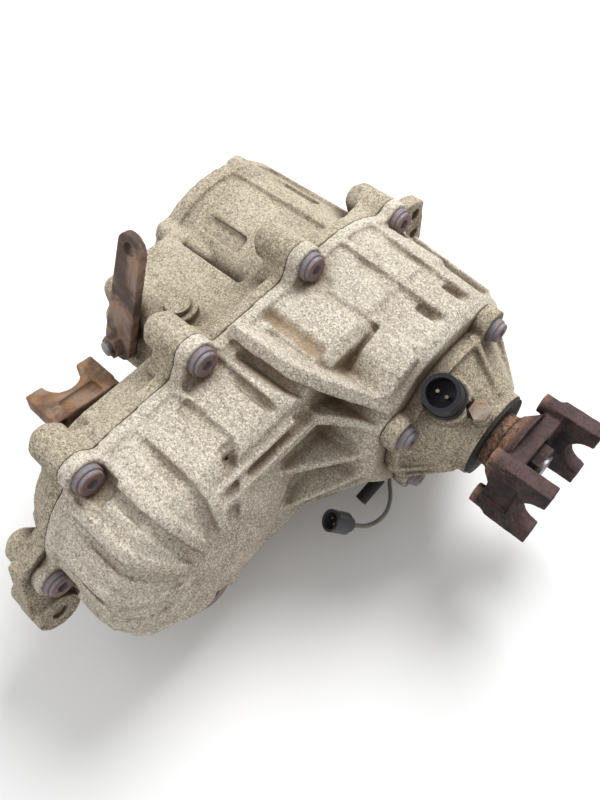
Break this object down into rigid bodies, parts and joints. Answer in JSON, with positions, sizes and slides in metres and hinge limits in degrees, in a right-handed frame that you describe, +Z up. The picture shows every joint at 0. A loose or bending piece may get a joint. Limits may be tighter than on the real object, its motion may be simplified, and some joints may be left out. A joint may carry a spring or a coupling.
{
  "type": "transfer case",
  "caption": "Chain-drive transfer case with split cast housing, two strap-type output yokes, shift lever, speed sensor and pigtail lead.",
  "frame": {"origin": "main shaft axis in the plane of the front adapter face", "axes": "+X rearward along the main shaft, +Y to the passenger side, +Z up, away from the sump side"},
  "size_m": [0.309, 0.3845, 0.2264],
  "materials": {
    "black_plastic": "moulded",
    "brass": "plated",
    "cast_aluminium_front": "sand cast, grimy",
    "cast_aluminium_rear": "sand cast, sun bleached",
    "dark_bolt_steel": "phosphated",
    "ferrite": "matt",
    "grey_plastic": "moulded",
    "lead_wire": "matt",
    "machined_steel": "ground",
    "rubber": "matt",
    "rusty_iron": "rusted",
    "rusty_steel": "rusted"
  },
  "bodies": {
    "case": {"annulus_gear": "machined_steel", "detent_ball": "machined_steel", "detent_plug": "machined_steel", "detent_spring": "machined_steel", "drive_chain": "machined_steel", "front_bearing_outer": "machined_steel", "front_case": "cast_aluminium_front", "front_oil_seal": "rubber", "indicator_switch": "grey_plastic", "input_bearing_cover": "cast_aluminium_front", "input_bearing_outer": "machined_steel", "input_cover_screws": "dark_bolt_steel", "input_oil_seal": "rubber", "magnet": "ferrite", "oil_pickup": "machined_steel", "oil_plugs": "dark_bolt_steel", "pad_stud": "rusty_steel", "pigtail_connector": "grey_plastic", "pigtail_lead": "lead_wire", "pump_housing": "cast_aluminium_front", "rear_bearing_outer": "machined_steel", "rear_case": "cast_aluminium_rear", "rear_needle_cup": "machined_steel", "rear_oil_seal": "rubber", "rear_retainer": "cast_aluminium_rear", "retainer_bolts": "dark_bolt_steel", "sensor_bolt": "rusty_steel", "shift_rail": "machined_steel", "speed_sensor": "black_plastic", "split_flange_bolts": "dark_bolt_steel", "terminal_pins": "brass", "vent_barb": "brass", "vent_hose": "rubber"},
    "output": {"drive_sprocket": "machined_steel", "mainshaft": "machined_steel", "pump_rotor": "machined_steel", "rear_bearing_inner": "machined_steel", "rear_yoke": "rusty_iron", "rear_yoke_nut": "machined_steel", "tone_wheel": "machined_steel"},
    "front": {"driven_sprocket": "machined_steel", "dust_slinger": "rusty_steel", "front_bearing_inner": "machined_steel", "front_output_shaft": "machined_steel", "front_yoke": "rusty_iron", "front_yoke_nut": "machined_steel"},
    "input": {"input_bearing_inner": "machined_steel", "input_gear": "machined_steel"},
    "shift": {"lever_nut": "rusty_steel", "shift_lever": "rusty_steel", "shift_shaft": "machined_steel"},
    "mode_fork": {"mode_fork": "cast_aluminium_front"},
    "mode_hub": {"mode_hub": "machined_steel"},
    "carrier": {"planet_carrier": "machined_steel"},
    "planet_1": {"planet_gear_1": "machined_steel"},
    "planet_2": {"planet_gear_2": "machined_steel"},
    "planet_3": {"planet_gear_3": "machined_steel"},
    "planet_4": {"planet_gear_4": "machined_steel"},
    "range_fork": {"range_fork": "cast_aluminium_front"},
    "range_hub": {"range_hub": "machined_steel"}
  },
  "joints": [
    {"name": "input_spin", "type": "hinge", "parent": "case", "child": "input", "pos_m": [0.03, 0, 0], "axis": [1, 0, 0], "continuous": true},
    {"name": "carrier_spin", "type": "hinge", "parent": "case", "child": "carrier", "pos_m": [0.048, 0, 0], "axis": [1, 0, 0], "continuous": true},
    {"name": "planet_1_spin", "type": "hinge", "parent": "carrier", "child": "planet_1", "pos_m": [0.048, 0.04275, 0], "axis": [1, 0, 0], "continuous": true},
    {"name": "planet_2_spin", "type": "hinge", "parent": "carrier", "child": "planet_2", "pos_m": [0.048, 0, 0.04275], "axis": [1, 0, 0], "continuous": true},
    {"name": "planet_3_spin", "type": "hinge", "parent": "carrier", "child": "planet_3", "pos_m": [0.048, -0.04275, 0], "axis": [1, 0, 0], "continuous": true},
    {"name": "planet_4_spin", "type": "hinge", "parent": "carrier", "child": "planet_4", "pos_m": [0.048, 0, -0.04275], "axis": [1, 0, 0], "continuous": true},
    {"name": "main_output_spin", "type": "hinge", "parent": "case", "child": "output", "pos_m": [0.114, 0, 0], "axis": [1, 0, 0], "continuous": true},
    {"name": "front_output_spin", "type": "hinge", "parent": "case", "child": "front", "pos_m": [0.114, -0.17145, 0], "axis": [1, 0, 0], "continuous": true},
    {"name": "shift_lever_swing", "type": "hinge", "parent": "case", "child": "shift", "pos_m": [0.036, -0.124, 0.033], "axis": [0, -0.9659, 0.2588], "range_deg": [-14, 14]},
    {"name": "range_fork_slide", "type": "slide", "parent": "case", "child": "range_fork", "axis": [1, 0, 0], "range_m": [-0.0045, 0.0045]},
    {"name": "mode_fork_slide", "type": "slide", "parent": "case", "child": "mode_fork", "axis": [1, 0, 0], "range_m": [-0.0045, 0.0045]},
    {"name": "range_hub_slide", "type": "slide", "parent": "output", "child": "range_hub", "axis": [1, 0, 0], "range_m": [-0.0045, 0.0045]},
    {"name": "mode_hub_slide", "type": "slide", "parent": "output", "child": "mode_hub", "axis": [1, 0, 0], "range_m": [-0.0045, 0.0045]}
  ],
  "couplings": [
    {"joint": "carrier_spin", "follows": "input_spin", "ratio": 0.36842},
    {"joint": "planet_1_spin", "follows": "input_spin", "ratio": -1.7684},
    {"joint": "planet_2_spin", "follows": "input_spin", "ratio": -1.7684},
    {"joint": "planet_3_spin", "follows": "input_spin", "ratio": -1.7684},
    {"joint": "planet_4_spin", "follows": "input_spin", "ratio": -1.7684},
    {"joint": "range_fork_slide", "follows": "shift_lever_swing", "m_per_rad": 0.018417},
    {"joint": "mode_fork_slide", "follows": "shift_lever_swing", "m_per_rad": 0.018417},
    {"joint": "range_hub_slide", "follows": "shift_lever_swing", "m_per_rad": 0.018417},
    {"joint": "mode_hub_slide", "follows": "shift_lever_swing", "m_per_rad": 0.018417},
    {"joint": "main_output_spin", "follows": "input_spin", "ratio": 1},
    {"joint": "front_output_spin", "follows": "input_spin", "ratio": 1}
  ]
}
